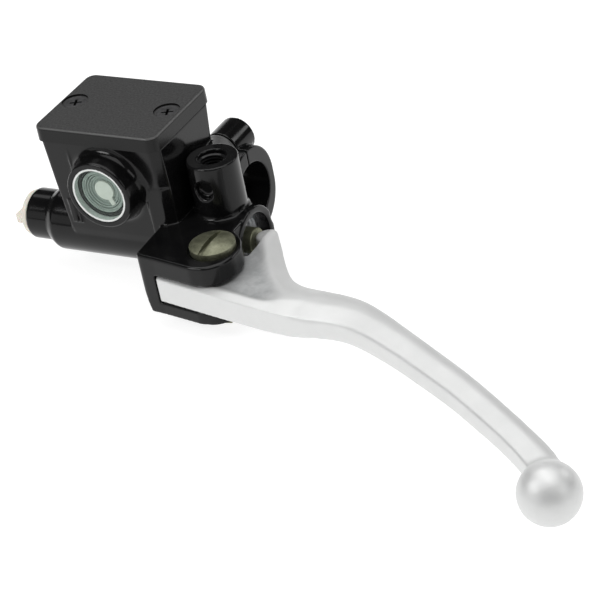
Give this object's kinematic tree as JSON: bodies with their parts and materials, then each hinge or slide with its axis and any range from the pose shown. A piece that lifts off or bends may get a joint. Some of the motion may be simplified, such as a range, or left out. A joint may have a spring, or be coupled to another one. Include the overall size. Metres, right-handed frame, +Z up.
{
  "type": "motorcycle brake master cylinder",
  "caption": "Handlebar brake master cylinder: cast body with boxy fluid reservoir and sight glass, pivoting hand lever with ball end, mirror boss and two-piece bar clamp.",
  "frame": {"origin": "centre of the handlebar bore, midway along the clamp", "axes": "+X along the handlebar towards the lever's ball end, +Y back through the bar away from the sight glass, +Z up"},
  "size_m": [0.2568, 0.1451, 0.0657],
  "materials": {
    "body_paint": "semi-gloss black paint on die-cast aluminium",
    "cover_plastic": "fine-grained matte black plastic",
    "black_steel": "blackened steel screws",
    "rubber": "matte black rubber",
    "plate_plastic": "pale grey plastic",
    "zinc_steel": "bright zinc-plated steel",
    "yellow_zinc": "olive-yellow zinc plate, slightly mottled",
    "sight_glass": "clear glass",
    "glass_ring": "pale translucent plastic ring",
    "reflector_white": "off-white plastic",
    "plug_cream": "cream plastic transport plug",
    "lever_aluminium": "satin silver, fine polished cast aluminium",
    "bush_bronze": "sintered bronze"
  },
  "bodies": {
    "housing": {"body_casting": "body_paint", "reservoir_shell": "body_paint", "mirror_boss": "body_paint", "reservoir_cover": "cover_plastic", "cover_screws": "black_steel", "diaphragm": "rubber", "diaphragm_plate": "plate_plastic", "port_baffle": "zinc_steel", "sight_glass_lens": "sight_glass", "sight_glass_ring": "glass_ring", "sight_glass_oring": "rubber", "sight_glass_reflector": "reflector_white", "return_spring": "zinc_steel", "stop_washer": "zinc_steel", "circlip": "zinc_steel", "banjo_plug": "plug_cream", "pivot_bolt": "yellow_zinc", "pivot_nut": "yellow_zinc", "clamp_cap": "body_paint", "clamp_bolts": "black_steel"},
    "lever": {"lever": "lever_aluminium", "pivot_bush": "bush_bronze"},
    "piston": {"piston": "yellow_zinc", "primary_cup": "rubber", "secondary_cup": "rubber"}
  },
  "joints": [
    {"name": "lever_pivot", "type": "hinge", "parent": "housing", "child": "lever", "pos_m": [0.0202, -0.0456, -0.0052], "axis": [0, 0, 1], "range_deg": [0, 15], "stiffness_Nm_per_rad": 0.55, "springref_deg": -36.67},
    {"name": "piston_slide", "type": "slide", "parent": "housing", "child": "piston", "axis": [-1, 0, 0], "range_m": [0, 0.0062], "deforming": ["return_spring"]}
  ],
  "couplings": [
    {"joint": "piston_slide", "follows": "lever_pivot", "m_per_rad": 0.0234}
  ]
}
